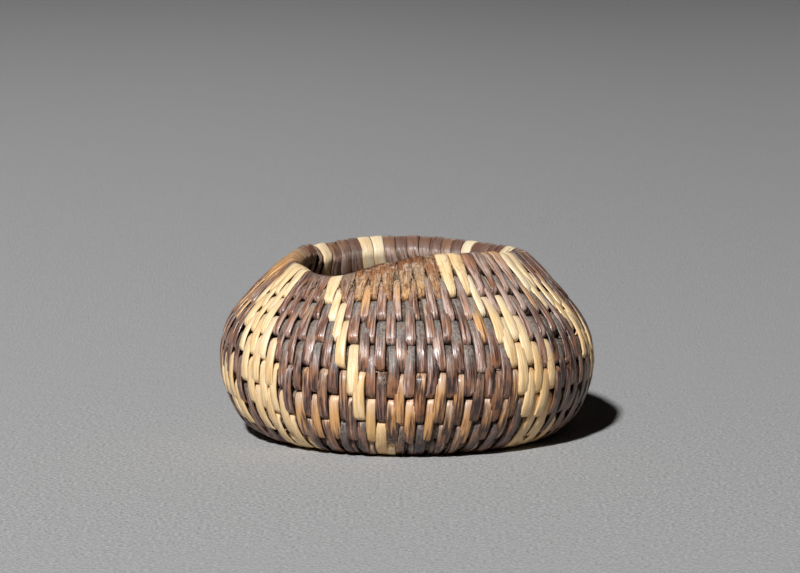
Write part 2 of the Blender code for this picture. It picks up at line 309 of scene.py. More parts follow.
@dataclass
class StitchPlan:
    """Where every stitch stands, what colour it is and how it strays from the even pattern.

    A stitch stands at a whole count along the coil. Its lower end goes to the nearest gap between
    two stitches of the round below, which is why the stitches lean where counts don't match. Places
    round the basket are degrees right of the front.
    """

    coil: Coil
    least_step: float = 0.2
    lean_share: float = 0.9
    lean_bias: float = 0.14
    light_extra: float = 0.1
    side_jitter: float = 0.065
    width_jitter: float = 0.09
    lift_jitter: float = 0.05 * MM
    twist_jitter: float = 0.2
    drop_jitter: float = 0.13 * MM
    back: float = 180.0
    back_wide: float = 65.0
    back_low: float = 0.2 * MM
    rim_ramp: float = 0.1
    slant_patches: tuple[Patch, ...] = (
        Patch(7.0, 26.0, 1.5, 26.0, 0.44),
        Patch(12.6, 50.0, 1.0, 18.0, -0.1),
    )
    gold_turns: tuple[float, ...] = (
        0.0, 5.0, 5.7, 6.2, 6.7, 7.2, 7.7, 8.2, 8.7, 9.2, 10.2, 10.7, 11.2, 11.7, 12.2, 13.5
    )
    gold_shares: tuple[float, ...] = (
        0.4, 0.4, 0.45, 0.5, 0.6, 0.76, 0.74, 0.72, 0.5, 0.2, 0.1, 0.15, 0.45, 0.4, 0.45, 0.15
    )
    gold_patches: tuple[Patch, ...] = (
        Patch(13.4, -98.0, 0.5, 28.0, 0.85),
        Patch(12.2, -82.0, 0.5, 12.0, 0.6),
        Patch(11.2, -80.0, 0.5, 10.0, 0.6),
        Patch(12.2, -5.0, 0.5, 22.0, 0.28),
        Patch(11.0, 23.0, 0.5, 8.0, 0.4),
        Patch(13.1, 46.0, 0.5, 12.0, 0.2),
        Patch(12.1, 48.0, 0.5, 13.0, 0.25),
    )
    gold_jitter: float = 0.45
    gold_front_wide: float = 50.0
    gold_side_loss: float = 0.65
    gold_side_low: Span = (4.7, 0.3)
    gold_side_high: Span = (9.7, -0.5)
    worn_middle: float = -3.0
    worn_wide: float = 21.0
    worn_high: Span = (11.9, 0.8)
    worn_most: float = 0.9
    dusty_turns: tuple[float, ...] = (0.0, 6.9, 7.2, 8.2, 9.0, 9.4, 11.3, 12.2, 12.7, 13.5)
    dusty_shares: tuple[float, ...] = (0.45, 0.45, 0.3, 0.2, 0.8, 1.2, 1.4, 1.3, 0.6, 0.5)
    dust_patches: tuple[Patch, ...] = (
        Patch(12.2, -5.0, 0.5, 26.0, -1.0),
        Patch(12.4, -65.0, 1.5, 25.0, -0.7),
    )
    dust_jitter: float = 0.2
    dust_most: float = 1.5
    shade_jitter: float = 0.4
    # Shifts of each stitch's tone by region: most are the splints' own colour, but two are painted light, as
    # marked.
    shade_patches: tuple[Patch, ...] = (
        Patch(8.3, 15.0, 0.9, 34.0, -1.3),
        Patch(6.2, 15.0, 0.7, 40.0, -1.5),
        Patch(7.2, 22.0, 0.4, 22.0, -1.0),
        # Painted shade: darkens the right side, which is turned away from the key light.
        Patch(8.5, 75.0, 2.5, 30.0, -0.8),
        Patch(12.3, 46.0, 1.3, 21.0, 3.2),
        Patch(12.6, -38.0, 0.9, 16.0, 0.7),
        Patch(11.0, -48.0, 1.8, 25.0, 0.8),
        # Painted highlight: lightens the inside of the back rim's wraps.
        Patch(13.3, 180.0, 0.9, 80.0, 3.7),
        Patch(11.9, -2.0, 0.9, 26.0, 2.0),
        Patch(11.8, -80.0, 1.2, 12.0, 1.3),
    )
    turn: np.ndarray = field(init=False)
    angle: np.ndarray = field(init=False)
    step: np.ndarray = field(init=False)
    lean: np.ndarray = field(init=False)
    side: np.ndarray = field(init=False)
    width: np.ndarray = field(init=False)
    lift: np.ndarray = field(init=False)
    twist: np.ndarray = field(init=False)
    drop: np.ndarray = field(init=False)
    back_drop: np.ndarray = field(init=False)
    seed: np.ndarray = field(init=False)
    light: np.ndarray = field(init=False)
    gold: np.ndarray = field(init=False)
    worn: np.ndarray = field(init=False)
    dust: np.ndarray = field(init=False)
    shade: np.ndarray = field(init=False)

    def __post_init__(self) -> None:
        """Lays the stitches out and gives each its colour and its small faults."""
        rng = np.random.default_rng(SEED)
        turns, counts = self.coil.tables()
        number = np.arange(int(counts[-1] - self.coil.phase)) + self.coil.phase
        total = len(number)
        self.turn = np.interp(number, counts, turns)
        self.angle = self.coil.angle(self.turn)
        advance = np.interp(number + 1, counts, turns) - self.turn
        self.step = np.maximum(advance, np.median(advance) * self.least_step)
        self.step[-1] = self.step[-2]
        under = np.interp(self.turn - 1, turns, counts)
        gap = np.floor(under - self.coil.phase) + 0.5 + self.coil.phase
        gap_turn = np.interp(gap, counts, turns) + 1
        away = np.clip((gap_turn - self.turn) / self.step, -0.5, 0.5)
        lean = np.where(self.turn > 1, away * (1 - (2 * away) ** 4), 0.0) * self.lean_share
        lean += self.lean_bias + rng.normal(0, self.side_jitter, total)
        self.lean = self.patched(lean, self.slant_patches)
        self.side = rng.normal(0, self.side_jitter, total)
        self.width = 1 + rng.normal(0, self.width_jitter, total)
        self.lift = rng.normal(0, self.lift_jitter, total)
        self.twist = rng.normal(0, self.twist_jitter, total)
        self.drop = rng.normal(0, self.drop_jitter, total)
        self.seed = rng.random(total)
        self.back_drop = self.back_low * self.side_share(self.back, self.back_wide)
        self.back_drop *= ramp(self.turn, self.coil.rim_turn, self.rim_ramp)
        self.light = np.zeros(total, bool)
        for stripe in STRIPES:
            self.light |= stripe.covers(self.turn, self.angle, FULL_TURN * self.step)
        self.width += self.light * self.light_extra
        self.gold = self.gold_share(rng.random(total))
        self.worn = self.side_share(self.worn_middle, self.worn_wide)
        self.worn = self.worn * ramp(self.turn, *self.worn_high) * self.worn_most
        dust = self.patched(np.interp(self.turn, self.dusty_turns, self.dusty_shares), self.dust_patches)
        self.dust = np.clip(dust + rng.normal(0, self.dust_jitter, total), 0, self.dust_most)
        self.shade = self.patched(rng.normal(0, self.shade_jitter, total), self.shade_patches)

    def away(self, degrees: float) -> np.ndarray:
        """Degrees from each stitch to a place, positive where the stitch lies to its right."""
        return np.degrees(short_way(self.angle, FRONT + math.radians(degrees)))

    def side_share(self, degrees: float, wide: float) -> np.ndarray:
        """Share from 0 to 1 of each stitch in one side of the basket, full over most of that side."""
        return np.exp(-((self.away(degrees) / wide) ** 4))

    def gold_share(self, luck: np.ndarray) -> np.ndarray:
        """How golden each dark stitch is, where the dye took badly.

        Args:
            luck: a random number from 0 to 1 for each stitch.

        Returns:
            Shares from 0 to 1.
        """
        share = np.interp(self.turn, self.gold_turns, self.gold_shares)
        share = self.patched(share, self.gold_patches)
        sides = 1 - self.side_share(0.0, self.gold_front_wide)
        low = ramp(self.turn, *self.gold_side_high) * ramp(self.turn, *self.gold_side_low)
        share = share * (1 - self.gold_side_loss * sides * low)
        return np.clip(share + (luck - 0.5) * self.gold_jitter, 0, 1)

    def patched(self, shift: np.ndarray, patches: tuple[Patch, ...]) -> np.ndarray:
        """Adds soft patches to a number that each stitch has.

        Args:
            shift: the number before, for each stitch.
            patches: the patches.

        Returns:
            The number after.
        """
        for patch in patches:
            near = ((self.turn - patch.turn) / patch.high) ** 2
            near = near + (self.away(patch.degrees) / patch.wide) ** 2
            shift = shift + patch.amount * np.exp(-near)
        return shift


# Mesh building


def add_object(name: str, points: np.ndarray, faces: np.ndarray, smooth: bool = True) -> bpy.types.Object:
    """Puts a mesh of equal faces into the scene.

    Args:
        name: name of the piece.
        points: vertices, one per row.
        faces: vertex numbers, one face per row.
        smooth: whether it is shaded smooth.

    Returns:
        The new object, at the origin.
    """
    mesh = bpy.data.meshes.new(name)
    flat = faces.reshape(-1)
    mesh.vertices.add(len(points))
    mesh.loops.add(len(flat))
    mesh.polygons.add(len(faces))
    mesh.vertices.foreach_set("co", points.astype(np.float32).reshape(-1))
    mesh.loops.foreach_set("vertex_index", flat.astype(np.int32))
    sides = faces.shape[1]
    mesh.polygons.foreach_set("loop_start", (np.arange(len(faces)) * sides).astype(np.int32))
    mesh.update(calc_edges=True)
    mesh.validate()
    if smooth:
        mesh.shade_smooth()
    piece = bpy.data.objects.new(name, mesh)
    bpy.context.scene.collection.objects.link(piece)
    return piece


def tube_faces(count: int, rows: int, sides: int) -> np.ndarray:
    """Faces of many tubes whose ends are pinched shut by narrow caps.

    Args:
        count: number of tubes.
        rows: rings in each tube.
        sides: points in each ring, an even number.

    Returns:
        Four vertex numbers per face.
    """
    row = np.arange(rows - 1)[:, None] * sides
    side = np.arange(sides)[None, :]
    after = (side + 1) % sides
    ring = np.stack([row + side, row + after, row + sides + after, row + sides + side], axis=-1)
    ring = ring.reshape(-1, 4)
    near = [[0, sides - 1 - i, sides - 2 - i, sides - 3 - i] for i in range(0, sides - 2, 2)]
    last = (rows - 1) * sides
    far = [[last, last + i + 1, last + i + 2, last + i + 3] for i in range(0, sides - 2, 2)]
    one = np.concatenate([ring, np.array(near), np.array(far)])
    return (one[None] + (np.arange(count) * rows * sides)[:, None, None]).reshape(-1, 4)


def add_tubes(
    name: str, points: np.ndarray, values: dict[str, np.ndarray | float], inward: bool = False
) -> bpy.types.Object:
    """Puts tubes into the scene, with a number per vertex for the materials to read.

    Args:
        name: name of the piece.
        points: places by tube, ring and side, or by ring and side for a single tube.
        values: numbers by name, for each point or for a whole axis of points.
        inward: whether the rings run so that their faces would look inward.

    Returns:
        The new object.
    """
    points = points.reshape(-1, *points.shape[-3:])
    faces = tube_faces(*points.shape[:-1])
    piece = add_object(name, points.reshape(-1, 3), faces[:, ::-1] if inward else faces)
    full = np.ones(points.shape[:-1])
    for key, numbers in values.items():
        layer = piece.data.attributes.new(key, "FLOAT", "POINT")
        layer.data.foreach_set("value", (numbers * full).astype(np.float32).reshape(-1))
    return piece


@dataclass(frozen=True)
class StitchForm:
    """Shape of one stitch: a flat splint bent round an upper and a lower rod.

    Its path is a stretched ring in the plane across the coil. Places on it are angles round the
    lower or the upper rod, from straight out, or shares of the way between the two. Along the path
    a leg counts from 0, the lower end outside, over 1, the top, to 2, the lower end inside.
    """

    reach_bend: float = 1.11 * MM
    foot_reach: float = 1.17 * MM
    out_bend: float = 1.1 * MM
    squareness: float = 0.62
    foot_squareness: float = 0.5
    thickness: float = 0.26 * MM
    twist_share: float = 0.6
    top_drop: float = 0.5
    bridge_lift: float = 0.04 * MM
    bridge_middle: float = 0.5
    bridge_spread: float = 0.17
    low_lift: float = 0.09 * MM
    low_fade: Span = (0.3, 0.45)
    cross_under: Span = (1.4, 0.6)
    column: float = 0.25
    end_width: float = 1.2
    top_width: float = 1.08
    inner_width: float = 1.1
    rim_width: float = 2.22
    rim_ramp: float = 0.025
    rim_widens: Span = (0.36, 0.24)
    rim_narrows: Span = (1.9, -0.3)
    foot_dirt: float = 0.1
    groove_dirt: Span = (1.04, 0.14)
    middle_reach: float = 0.9 * MM
    ground_play: float = 0.03 * MM
    ring_spacing: float = 0.55
    low_out: tuple[float, ...] = (-90.0, -70.0, -45.0, -18.0)
    mid_out: tuple[float, ...] = (0.15, 0.5, 0.85)
    top: tuple[float, ...] = (18.0, 45.0, 68.0, 90.0, 120.0, 150.0, 175.0)
    mid_in: tuple[float, ...] = (0.5,)
    low_in: tuple[float, ...] = (185.0, 225.0, 270.0)
    across: tuple[float, ...] = (-1.0, -0.74, 0.0, 0.74, 1.0, 0.0)
    height: tuple[float, ...] = (-0.02, 0.42, 0.5, 0.42, -0.02, -0.5)

    def legs(self) -> np.ndarray:
        """Leg of each ring of the path.

        Returns:
            Numbers from 0 to 2.
        """
        outer = len(self.low_out) + len(self.mid_out) + self.top.index(90.0) + 1
        rings = sum(len(part) for part in (self.low_out, self.mid_out, self.top, self.mid_in, self.low_in))
        return np.concatenate([np.linspace(0, 1, outer), np.linspace(1, 2, rings - outer + 1)[1:]])

    def bend(
        self,
        degrees: tuple[float, ...],
        centre: np.ndarray,
        slim: np.ndarray,
        thin: np.ndarray,
        square: float,
    ) -> tuple[np.ndarray, ...]:
        """Stretch of the path round one rod: an ellipse whose sine and cosine are raised to a power.

        Args:
            degrees: places round the rod, from straight out.
            centre: reach of the rod's middle, one row per stitch.
            slim: share of the bend along the wall.
            thin: share of the bend out of the wall.
            square: the power, 1 for a plain ellipse and less for a squarer one.

        Returns:
            Reach, distance out, and the two parts of the outward direction.
        """
        turn = np.radians(np.array(degrees))[None, :]
        rise, lead = np.sin(turn), np.cos(turn)
        up = centre + self.reach_bend * slim * np.sign(rise) * np.abs(rise) ** square
        out = self.out_bend * thin * np.sign(lead) * np.abs(lead) ** square
        face_up = np.sign(rise) * np.abs(rise) ** (2 - square)
        face_out = np.sign(lead) * np.abs(lead) ** (2 - square)
        size = np.hypot(face_up, face_out)
        return up, out, face_up / size + 0 * up, face_out / size + 0 * up

    def between(
        self, shares: tuple[float, ...], side: float, low: np.ndarray, top: np.ndarray, thin: np.ndarray
    ) -> tuple[np.ndarray, ...]:
        """Straight stretch of the path from the lower rod to the upper one.

        Args:
            shares: places on it, from 0 at the lower rod to 1 at the upper.
            side: 1 outside the wall and -1 inside.
            low: reach of the lower rod's middle, one row per stitch.
            top: the same for the upper rod.
            thin: share of the bend out of the wall at the upper rod.

        Returns:
            Reach, distance out, and the two parts of the outward direction.
        """
        along = np.array(shares)[None, :]
        up = low + (top - low) * along
        return up, side * self.out_bend * (1 + (thin - 1) * along), 0 * up, side + 0 * up


@dataclass
class Sewing:
    """All stitches of one colour in one stretch of the coil, as one piece."""

    wall: Wall
    coil: Coil
    plan: StitchPlan
    form: StitchForm = StitchForm()

    def path(self, pick: np.ndarray) -> dict[str, np.ndarray]:
        """Path of each stitch across the coil, one column per ring.

        Args:
            pick: numbers of the stitches.

        Returns:
            For each stitch and ring: up, the reach from the groove between its two rods; out, the
            distance out of the wall's middle; face_up and face_out, the two parts of the outward
            direction; slide, the stitches moved along the coil; width; leg; dirt; and rim, which is
            1 for the wraps of the last round.
        """
        form, plan = self.form, self.plan
        slim, thin = self.coil.tip_sizes(plan.turn[pick][:, None])
        whole = np.ones_like(slim)
        drop = plan.drop[pick][:, None]
        low = drop - self.coil.pitch / 2
        top = drop * form.top_drop + self.coil.pitch / 2 * slim - plan.back_drop[pick][:, None]
        foot = whole * (form.foot_reach / form.reach_bend)
        parts = [
            form.bend(form.low_out, low, foot, whole, form.foot_squareness),
            form.between(form.mid_out, 1.0, low, top, thin),
            form.bend(form.top, top, slim, thin, form.squareness),
            form.between(form.mid_in, -1.0, low, top, thin),
            form.bend(form.low_in, low, whole, whole, form.squareness),
        ]
        up, out, face_up, face_out = (np.concatenate(column, axis=1) for column in zip(*parts))
        leg = form.legs()
        bridge = np.exp(-(((leg - form.bridge_middle) / form.bridge_spread) ** 2))
        fade = ramp(leg, *form.low_fade)
        lower = 1 - fade**2 * (3 - 2 * fade)
        out = out + form.bridge_lift * bridge + form.low_lift * lower
        out = out + plan.lift[pick][:, None] * np.sin(math.pi * leg) * (leg < 1)
        lean = plan.lean[pick][:, None]
        next_lean = plan.lean[np.minimum(pick + 1, len(plan.lean) - 1)][:, None]
        outside = lean * (1 - leg) + plan.side[pick][:, None] * np.sin(math.pi * leg)
        inside = ramp(leg, *form.cross_under) * (1 + next_lean)
        width = np.where(
            leg <= 1, form.top_width + (form.end_width - form.top_width) * lower, form.inner_width
        )
        width = width * plan.width[pick][:, None]
        rim = ramp(plan.turn[pick][:, None], self.coil.rim_turn, form.rim_ramp)
        open_side = ramp(leg, *form.rim_widens) * ramp(leg, *form.rim_narrows)
        groove, groove_half = form.groove_dirt
        groove_dirt = (1 - rim) * np.clip(1 - np.abs(leg - groove) / groove_half, 0, 1)
        return {
            "up": up,
            "out": out,
            "face_up": face_up,
            "face_out": face_out,
            "slide": np.where(leg <= 1, outside, inside),
            "width": width + rim * open_side * (form.rim_width - width),
            "leg": leg + 0 * up,
            "dirt": np.clip(1 - leg / form.foot_dirt, 0, 1) + groove_dirt,
            "rim": rim + 0 * up,
        }

    def build(self, name: str, pick: np.ndarray) -> bpy.types.Object:
        """Builds the stitches.

        The ring of a stitch is a low arch with one point beneath. Each ring point is moved along the
        coil by its share of the width, then out of the path by its share of the thickness, and the
        wall's surface turns both into a place.

        Args:
            name: name of the piece.
            pick: numbers of the stitches.

        Returns:
            The new object.
        """
        form, plan = self.form, self.plan
        path = {key: numbers[..., None] for key, numbers in self.path(pick).items()}
        across = np.array(form.across)[None, None, :]
        height = np.array(form.height)[None, None, :] * form.thickness
        height = height + across * plan.twist[pick][:, None, None] * form.thickness * form.twist_share
        slide = path["slide"] + across * path["width"] * form.column
        turn = plan.turn[pick][:, None, None] + slide * plan.step[pick][:, None, None]
        reach = self.coil.reach(turn) - self.coil.pitch / 2 + (path["up"] + height * path["face_up"])
        reach = np.where(reach < form.middle_reach, (form.middle_reach + reach) / 2, reach)
        out = path["out"] + height * path["face_out"]
        points = self.wall.point(reach, self.coil.angle(turn), out)
        ground = plan.seed[pick][:, None, None] * form.ground_play
        points[..., 2] = np.maximum(points[..., 2], ground)
        ring = np.arange(1, reach.shape[1] + 1)[None, :, None]
        values = {"across": across, "along": ring * form.ring_spacing}
        for key in ("seed", "gold", "worn", "shade", "dust"):
            values[key] = getattr(plan, key)[pick][:, None, None]
        values |= {key: path[key] for key in ("leg", "dirt", "rim")}
        return add_tubes(name, points, values, inward=True)


@dataclass
class Foundation:
    """Peeled rods inside the sewing, laid end to end, which taper to the shaved tip."""

    wall: Wall
    coil: Coil
    half_reach: float = 1.1 * MM
    half_out: float = 0.98 * MM
    rim_less: float = 0.2 * MM
    rim_ramp: float = 0.2
    squareness: float = 0.7
    base_turns: float = 5.7
    count: int = 5
    end_gap_turns: float = 0.002
    tip_gap_turns: float = 0.01
    per_turn: int = 72
    sides: int = 12
    grain_per_turn: float = 100.0
    worn_wide: float = 55.0
    worn_high: Span = (11.3, 0.6)

    def build(self) -> list[bpy.types.Object]:
        """Builds the rods.

        Returns:
            The rods, from the base up.
        """
        stop = self.coil.turns - self.coil.tip_turns
        ends = np.concatenate([[0.0], np.linspace(self.base_turns, stop, self.count)])
        ends[-1] = self.coil.turns - self.tip_gap_turns
        pairs = zip(ends, ends[1:])
        return [self.rod(f"peeled_rod_{number}", *pair) for number, pair in enumerate(pairs, 1)]

    def rod(self, name: str, start: float, stop: float) -> bpy.types.Object:
        """Builds one rod.

        It is a grid of rings along the coil. A ring is a squared ellipse across the wall, and its
        size falls in the tip and a little in the last round.

        Args:
            name: name of the piece.
            start: turn where it starts.
            stop: turn where it stops.

        Returns:
            The rod.
        """
        rows = max(3, int((stop - start) * self.per_turn))
        turn = np.linspace(start + self.end_gap_turns, stop - self.end_gap_turns, rows)[:, None]
        slim, thin = self.coil.tip_sizes(turn)
        around = np.linspace(0, FULL_TURN, self.sides, endpoint=False)[None, :]
        rise, lead = np.sin(around), np.cos(around)
        centre = self.coil.reach(turn) - self.coil.pitch / 2 * (1 - slim)
        last = ramp(turn, self.coil.rim_turn - self.rim_ramp / 2, self.rim_ramp)
        half_reach = self.half_reach - self.rim_less * last
        reach = centre + half_reach * slim * np.sign(rise) * np.abs(rise) ** self.squareness
        out = self.half_out * thin * np.sign(lead) * np.abs(lead) ** self.squareness
        points = self.wall.point(reach, self.coil.angle(turn) + 0 * reach, out)
        front = np.degrees(short_way(self.coil.angle(turn), FRONT)) / self.worn_wide
        values = {
            "along": turn * self.grain_per_turn,
            "across": rise,
            "worn": np.exp(-(front**2)) * ramp(turn, *self.worn_high),
        }
        return add_tubes(name, points, values, inward=True)


@dataclass
class Knot:
    """Tight snail of splint in the middle of the base, with spokes where the splint passes over it."""

    wall: Wall
    coil: Coil
    overlap: float = 0.12 * MM
    edge: float = 0.35 * MM
    edge_share: float = 0.6
    spokes: int = 9
    spoke_twist: float = 2.5
    spoke_height: float = 0.09 * MM
    pinhole: float = 0.02
    ground: float = 0.02 * MM
    rings: int = 9
    sides: int = 72

    def build(self) -> bpy.types.Object:
        """Builds the snail.

        Its surface is a polar grid. The edge runs along the inside of the first turn, so its radius
        grows by the coil's pitch in one turn. The height falls off towards the edge as a rounded
        crown, and a cosine round the middle raises the spokes. The same grid, turned over, makes the
        underside.

        Returns:
            The snail.
        """
        outwards = np.linspace(self.pinhole, 1, self.rings)
        share = np.concatenate([outwards, outwards[::-1]])[:, None]
        side = np.repeat([1.0, -1.0], self.rings)[:, None]
        angle = np.linspace(0, FULL_TURN, self.sides, endpoint=False)[None, :]
        half = self.wall.half_thickness - self.edge * self.edge_share
        dome = (half - self.edge) + self.edge * np.sqrt(np.clip(1 - share**4, 0, 1))
        spoke_angle = self.spokes * angle + self.spoke_twist * share
        spoke = self.spoke_height * np.cos(spoke_angle) * np.sqrt(share) * (share < 1)
        turn = ((self.coil.angle(np.float64(0.0)) - angle) / FULL_TURN) % 1
        radius = (self.coil.knot_radius + self.coil.pitch * turn + self.overlap) * share
        z = np.maximum(self.wall.half_thickness + side * (dome + spoke), self.ground)
        points = np.stack([radius * np.cos(angle), radius * np.sin(angle), z + 0 * angle], axis=-1)
        values = {
            "across": np.sin(spoke_angle),
            "along": share * 2,
            "leg": 0.5,
            "seed": np.floor(angle / FULL_TURN * self.spokes) / self.spokes,
            "gold": 0.3,
            "worn": 0.1,
            "shade": 0.0,
            "dust": 0.4,
            "dirt": 0.0,
            "rim": 0.0,
        }
        return add_tubes("start_button", points, values)


@dataclass(frozen=True)
class Tuft:
    """One patch of loose fibres: how many, where, how far they scatter and which way they run.

    Angles are degrees from the front and levels are turns of the wall; a heading of 0 runs up. The
    share of the full length says how short the fibres are.
    """

    count: int
    degrees: float
    level: float
    spread_degrees: float
    spread_level: float
    heading: float
    scatter: float
    length_share: float = 1.0


@dataclass
class Fray:
    """Fine fibres that stand off the worn shoulder at the front and off three split stitches."""

    wall: Wall
    coil: Coil
    tufts: tuple[Tuft, ...] = (
        Tuft(480, -3.0, 12.55, 17.0, 0.34, 0.0, 0.5),
        Tuft(46, 43.5, 8.75, 1.7, 0.12, 90.0, 0.3, 0.9),
        Tuft(9, -7.0, 8.4, 0.8, 0.06, 60.0, 0.6, 0.4),
        Tuft(26, -5.0, 5.9, 1.6, 0.3, 10.0, 0.6, 0.4),
    )
    top_level: float = 13.05
    length: Span = (0.5 * MM, 1.5 * MM)
    rise: Span = (0.02 * MM, 0.3 * MM)
    root: float = 1.24 * MM
    half_width: float = 0.022 * MM
    thicker: Span = (0.6, 1.4)
    taper_from: float = 1.2
    curl: float = 0.5
    rows: int = 5
    corners: tuple[float, ...] = (90.0, 210.0, 330.0, 330.0)

    def each(self, key: str) -> np.ndarray:
        """One value of the tufts, repeated for each of their fibres."""
        return np.repeat([getattr(tuft, key) for tuft in self.tufts], [tuft.count for tuft in self.tufts])

    def build(self) -> bpy.types.Object:
        """Builds the fibres.

        Each is a three sided hair along the wall; it starts inside a stitch, follows a slightly bent
        line along the wall and lifts off with the square of its length.

        Returns:
            All the fibres as one piece.
        """
        rng = np.random.default_rng(SEED + 1)
        total = sum(tuft.count for tuft in self.tufts)
        offset = rng.normal(0, 1, total) * self.each("spread_degrees") + self.each("degrees")
        level = rng.normal(0, 1, total) * self.each("spread_level") + self.each("level")
        level = np.minimum(level, self.top_level - offset / 360)
        heading = rng.normal(0, 1, total) * self.each("scatter") + np.radians(self.each("heading"))
        heading = (heading + np.where(rng.random(total) < 0.5, 0, math.pi))[:, None]
        angle = (FRONT + np.radians(offset))[:, None]
        reach = self.coil.reach(level)[:, None]
        length = (rng.uniform(*self.length, total) * self.each("length_share"))[:, None]
        share = np.linspace(0, 1, self.rows)[None, :]
        heading = heading + rng.normal(0, self.curl, total)[:, None] * share
        radius = self.wall.profile(reach)[0]
        line_reach = reach + length * share * np.cos(heading)
        line_angle = angle + length * share * np.sin(heading) / radius
        lift = self.root + rng.uniform(*self.rise, total)[:, None] * share**2
        thick = self.half_width * (self.taper_from - share) * rng.uniform(*self.thicker, total)[:, None]
        around = np.radians(np.array(self.corners))[None, None, :]
        ring_angle = line_angle[..., None] + thick[..., None] * np.cos(around) / radius[..., None]
        ring_out = lift[..., None] + thick[..., None] * np.sin(around)
        points = self.wall.point(line_reach[..., None] + 0 * ring_angle, ring_angle, ring_out)
        return add_tubes("shoulder_fray", points, {"seed": rng.random(total)[:, None, None]})


# Materials

Socket = bpy.types.NodeSocket
Feed = Socket | float | Colour


@dataclass(frozen=True)
class Step:
    """Soft step in a number: its span, what it gives before and after, and how ragged a noise makes it."""

    low: float
    high: float
    before: float = 0.0
    after: float = 1.0
    ragged: float = 0.0


@dataclass(frozen=True)
class Noise:
    """Cloudy noise from 0 to 1: how fine it is, its layers of finer noise and their strength."""

    scale: float
    detail: float = 3.0
    rough: float = 0.55


@dataclass(frozen=True)
class Grain:
    """Noise that follows a splint: how fast it changes across and along it, and how much it slants."""

    across: float
    along: float
    noise: Noise
    slant: float = 0.0


class Sketch:
    """Builds one material's nodes with short calls; most return the socket that they make."""

    def __init__(self, name: str) -> None:
        """Starts an empty material.

        Args:
            name: name of the material.
        """
        self.material = bpy.data.materials.new(name)
        self.material.use_nodes = True
        self.tree = self.material.node_tree
        self.tree.nodes.clear()
        self.shader = self.node("BsdfPrincipled")
        self.tree.links.new(self.shader.outputs[0], self.node("OutputMaterial").inputs[0])

    def put(self, socket: Socket, value: Feed) -> None:
        """Links a socket, or sets it to a plain value.

        Args:
            socket: the input.
            value: another socket, a number or a colour.
        """
        if isinstance(value, Socket):
            self.tree.links.new(value, socket)
        else:
            socket.default_value = (*value, 1.0) if socket.type == "RGBA" else value

    def node(
        self, kind: str, inputs: dict[str | int, Feed] | None = None, **settings: object
    ) -> bpy.types.Node:
        """Adds a node.

        Args:
            kind: last part of Blender's name for it.
            inputs: what goes into its sockets, by name or number.
            settings: its settings, by Blender's names.

        Returns:
            The node.
        """
        node = self.tree.nodes.new(f"ShaderNode{kind}")
        for name, setting in settings.items():
            setattr(node, name, setting)
        for key, value in (inputs or {}).items():
            self.put(node.inputs[key], value)
        return node

    def value(self, name: str) -> Socket:
        """Number of this name that is stored per vertex."""
        return self.node("Attribute", attribute_name=name).outputs["Fac"]

    def place(self) -> Socket:
        """Object coordinates."""
        return self.node("TexCoord").outputs["Object"]

    def calc(self, kind: str, a: Feed, b: Feed = 0.0, clamp: bool = False) -> Socket:
        """One step of arithmetic, of a kind that Blender names, kept from 0 to 1 if clamped."""
        return self.node("Math", {0: a, 1: b}, operation=kind, use_clamp=clamp).outputs[0]

    def add(self, *values: Feed, clamp: bool = False) -> Socket:
        """Sum of the values."""
        return reduce(lambda a, b: self.calc("ADD", a, b, clamp), values)

    def times(self, *values: Feed, clamp: bool = False) -> Socket:
        """Product of the values."""
        return reduce(lambda a, b: self.calc("MULTIPLY", a, b, clamp), values)

    def weigh(self, values: tuple[Feed, ...], weights: tuple[float, ...]) -> Socket:
        """Sum of the values, each times its weight."""
        return self.add(*map(self.times, values, weights))

    def step(self, value: Feed, step: Step, grain: Socket | None = None) -> Socket:
        """Soft step in a value.

        Args:
            value: the value.
            step: where the step runs and what it gives.
            grain: the noise that makes it ragged, if any.

        Returns:
            What the step gives.
        """
        if grain is not None:
            value = self.add(value, self.times(grain, step.ragged))
        ends = {"From Min": step.low, "From Max": step.high, "To Min": step.before, "To Max": step.after}
        node = self.node("MapRange", {"Value": value, **ends}, interpolation_type="SMOOTHSTEP")
        return node.outputs["Result"]

    def noise(self, noise: Noise, at: Socket | None = None) -> Socket:
        """Cloudy noise.

        Args:
            noise: how fine it is.
            at: where it is read, the object's coordinates unless given.

        Returns:
            The noise, from 0 to 1.
        """
        at = self.place() if at is None else at
        inputs = {"Vector": at, "Scale": noise.scale, "Detail": noise.detail, "Roughness": noise.rough}
        return self.node("TexNoise", inputs).outputs["Fac"]

    def mix(self, share: Feed, a: Feed, b: Feed) -> Socket:
        """Mix of two colours, by the share of the second."""
        return self.node("Mix", {"Factor": share, 6: a, 7: b}, data_type="RGBA").outputs[2]

    def bump(self, height: Socket, strength: float, depth: float, under: Socket | None = None) -> Socket:
        """Fine relief.

        Args:
            height: height from 0 to 1.
            strength: how much of it shows.
            depth: its real depth, in metres.
            under: relief that it lies on, if any.

        Returns:
            The bent normal.
        """
        node = self.node("Bump", {"Strength": strength, "Distance": depth, "Height": height})
        if under is not None:
            self.put(node.inputs["Normal"], under)
        return node.outputs[0]

    def finish(self, colour: Feed, roughness: Feed, normal: Socket, specular: float) -> bpy.types.Material:
        """Sets the shader's inputs.

        Args:
            colour: base colour.
            roughness: roughness.
            normal: bent normal.
            specular: strength of its reflection.

        Returns:
            The material.
        """
        names = ("Base Color", "Roughness", "Normal", "Specular IOR Level")
        for name, value in zip(names, (colour, roughness, normal, specular)):
            self.put(self.shader.inputs[name], value)
        return self.material


